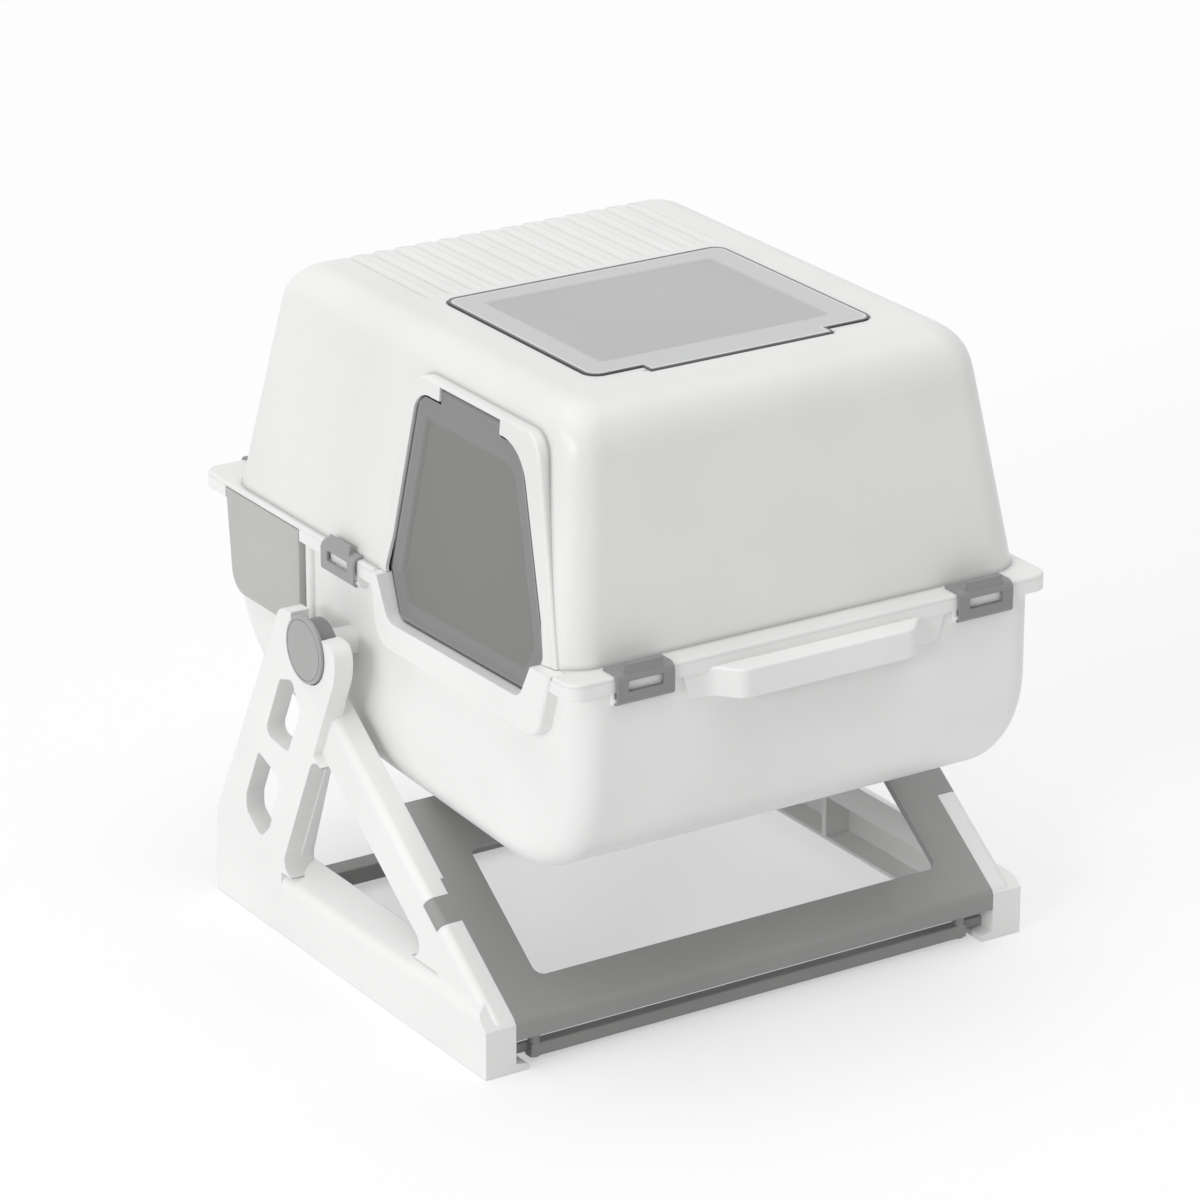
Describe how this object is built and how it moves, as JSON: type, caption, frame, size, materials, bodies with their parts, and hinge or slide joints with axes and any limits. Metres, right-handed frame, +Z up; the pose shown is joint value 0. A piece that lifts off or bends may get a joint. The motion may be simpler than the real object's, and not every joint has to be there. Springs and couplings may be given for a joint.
{
  "type": "sifting litter box",
  "caption": "Enclosed sifting litter box that rolls on a stand, with a hood, swing door, window lid, waste drawer, turning knobs and clips.",
  "frame": {"origin": "on the floor under the middle of the whole object", "axes": "+Z up, -Y towards the side with the handle, X along the axis that the box rolls about"},
  "size_m": [0.526, 0.6018, 0.5483],
  "materials": {
    "white_plastic": "fine satin",
    "stand_white": "fine satin",
    "grey_plastic": "fine grain",
    "clip_grey": "fine grain",
    "drawer_grey": "fine grain",
    "smoked_plastic": "smoky and clear"
  },
  "bodies": {
    "stand": {"left_side_frame": "stand_white", "right_side_frame": "stand_white", "front_panel_frame": "grey_plastic", "front_base_bar": "grey_plastic", "rear_cross_bar": "grey_plastic"},
    "box": {"tub": "white_plastic", "hood": "white_plastic", "drawer_housing": "white_plastic", "sieve_grid": "white_plastic", "left_pivot_hub": "grey_plastic", "right_pivot_hub": "grey_plastic"},
    "drawer": {"waste_drawer": "drawer_grey"},
    "knob_left": {"left_knob": "grey_plastic"},
    "knob_right": {"right_knob": "grey_plastic"},
    "door": {"door_flap": "smoked_plastic"},
    "lid": {"window_lid": "smoked_plastic"},
    "front_left_clip_body": {"front_left_clip": "clip_grey"},
    "front_right_clip_body": {"front_right_clip": "clip_grey"},
    "right_clip_body": {"right_clip": "clip_grey"},
    "rear_right_clip_body": {"rear_right_clip": "clip_grey"},
    "rear_left_clip_body": {"rear_left_clip": "clip_grey"},
    "left_clip_body": {"left_clip": "clip_grey"}
  },
  "joints": [
    {"name": "roll", "type": "hinge", "parent": "stand", "child": "box", "pos_m": [0, 0.0647, 0.272], "axis": [1, 0, 0], "range_deg": [-90, 0]},
    {"name": "drawer_slide", "type": "slide", "parent": "box", "child": "drawer", "axis": [-1, 0, 0], "range_m": [0, 0.3]},
    {"name": "left_knob_turn", "type": "hinge", "parent": "box", "child": "knob_left", "pos_m": [-0.263, 0.0647, 0.272], "axis": [-1, 0, 0], "range_deg": [0, 90]},
    {"name": "right_knob_turn", "type": "hinge", "parent": "box", "child": "knob_right", "pos_m": [0.263, 0.0647, 0.272], "axis": [1, 0, 0], "range_deg": [0, 90]},
    {"name": "door_swing", "type": "hinge", "parent": "box", "child": "door", "pos_m": [-0.19867, -0.1008, 0.51523], "axis": [0, 1, 0], "range_deg": [-60, 70]},
    {"name": "lid_open", "type": "hinge", "parent": "box", "child": "lid", "pos_m": [0, -0.1723, 0.5449], "axis": [1, 0, 0], "range_deg": [0, 100]},
    {"name": "front_left_clip_turn", "type": "hinge", "parent": "box", "child": "front_left_clip_body", "pos_m": [-0.1602, -0.2816, 0.331], "axis": [1, 0, 0], "range_deg": [0, 90]},
    {"name": "front_right_clip_turn", "type": "hinge", "parent": "box", "child": "front_right_clip_body", "pos_m": [0.1602, -0.2816, 0.331], "axis": [1, 0, 0], "range_deg": [0, 90]},
    {"name": "right_clip_turn", "type": "hinge", "parent": "box", "child": "right_clip_body", "pos_m": [0.2263, 0.0647, 0.331], "axis": [0, 1, 0], "range_deg": [0, 90]},
    {"name": "rear_right_clip_turn", "type": "hinge", "parent": "box", "child": "rear_right_clip_body", "pos_m": [0.1602, 0.297, 0.331], "axis": [-1, 0, 0], "range_deg": [0, 90]},
    {"name": "rear_left_clip_turn", "type": "hinge", "parent": "box", "child": "rear_left_clip_body", "pos_m": [-0.1602, 0.297, 0.331], "axis": [-1, 0, 0], "range_deg": [0, 90]},
    {"name": "left_clip_turn", "type": "hinge", "parent": "box", "child": "left_clip_body", "pos_m": [-0.2263, 0.0647, 0.331], "axis": [0, -1, 0], "range_deg": [0, 90]}
  ]
}
